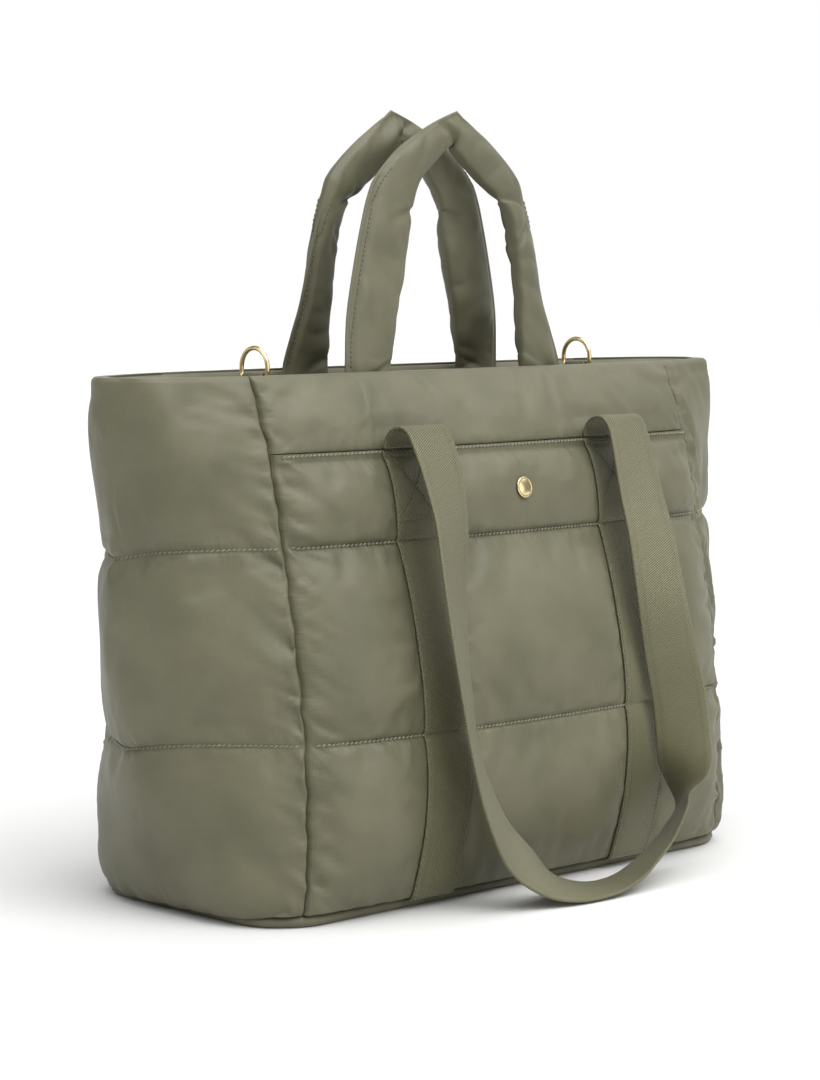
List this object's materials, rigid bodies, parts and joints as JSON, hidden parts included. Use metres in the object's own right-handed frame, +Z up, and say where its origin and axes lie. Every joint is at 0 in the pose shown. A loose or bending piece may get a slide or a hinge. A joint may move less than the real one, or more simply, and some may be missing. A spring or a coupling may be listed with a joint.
{
  "type": "overnight bag",
  "caption": "Quilted padded nylon tote-shaped overnight bag with flared ends, a snap pocket, padded carry handles, webbing shoulder straps and brass D-rings.",
  "frame": {"origin": "middle of the base's underside, on the surface the bag stands on", "axes": "+X along the bag's length, -Y out of the pocket side, +Z up"},
  "size_m": [0.5582, 0.344, 0.5157],
  "materials": {
    "quilted_nylon": "sage nylon with a soft satin sheen over padding",
    "webbing": "matt twill-woven webbing",
    "brass": "polished light gold"
  },
  "bodies": {
    "bag": {"front_panel": "quilted_nylon", "front_pocket": "quilted_nylon", "back_panel": "quilted_nylon", "end_panel_left": "quilted_nylon", "end_panel_right": "quilted_nylon", "base_panel": "quilted_nylon", "top_facing": "quilted_nylon", "handle_front": "quilted_nylon", "handle_back": "quilted_nylon", "strap_anchor_front_left": "webbing", "strap_anchor_front_right": "webbing", "strap_anchor_back_left": "webbing", "strap_anchor_back_right": "webbing", "strap_front": "webbing", "strap_back": "webbing", "dring_tab_left": "quilted_nylon", "dring_tab_right": "quilted_nylon", "pocket_snap": "brass"},
    "ring_left": {"dring_left": "brass"},
    "ring_right": {"dring_right": "brass"}
  },
  "joints": [
    {"name": "ring_left_swing", "type": "hinge", "parent": "bag", "child": "ring_left", "pos_m": [-0.154, 0, 0.342], "axis": [0, 1, 0], "range_deg": [-85, 85]},
    {"name": "ring_right_swing", "type": "hinge", "parent": "bag", "child": "ring_right", "pos_m": [0.154, 0, 0.342], "axis": [0, 1, 0], "range_deg": [-85, 85]}
  ]
}
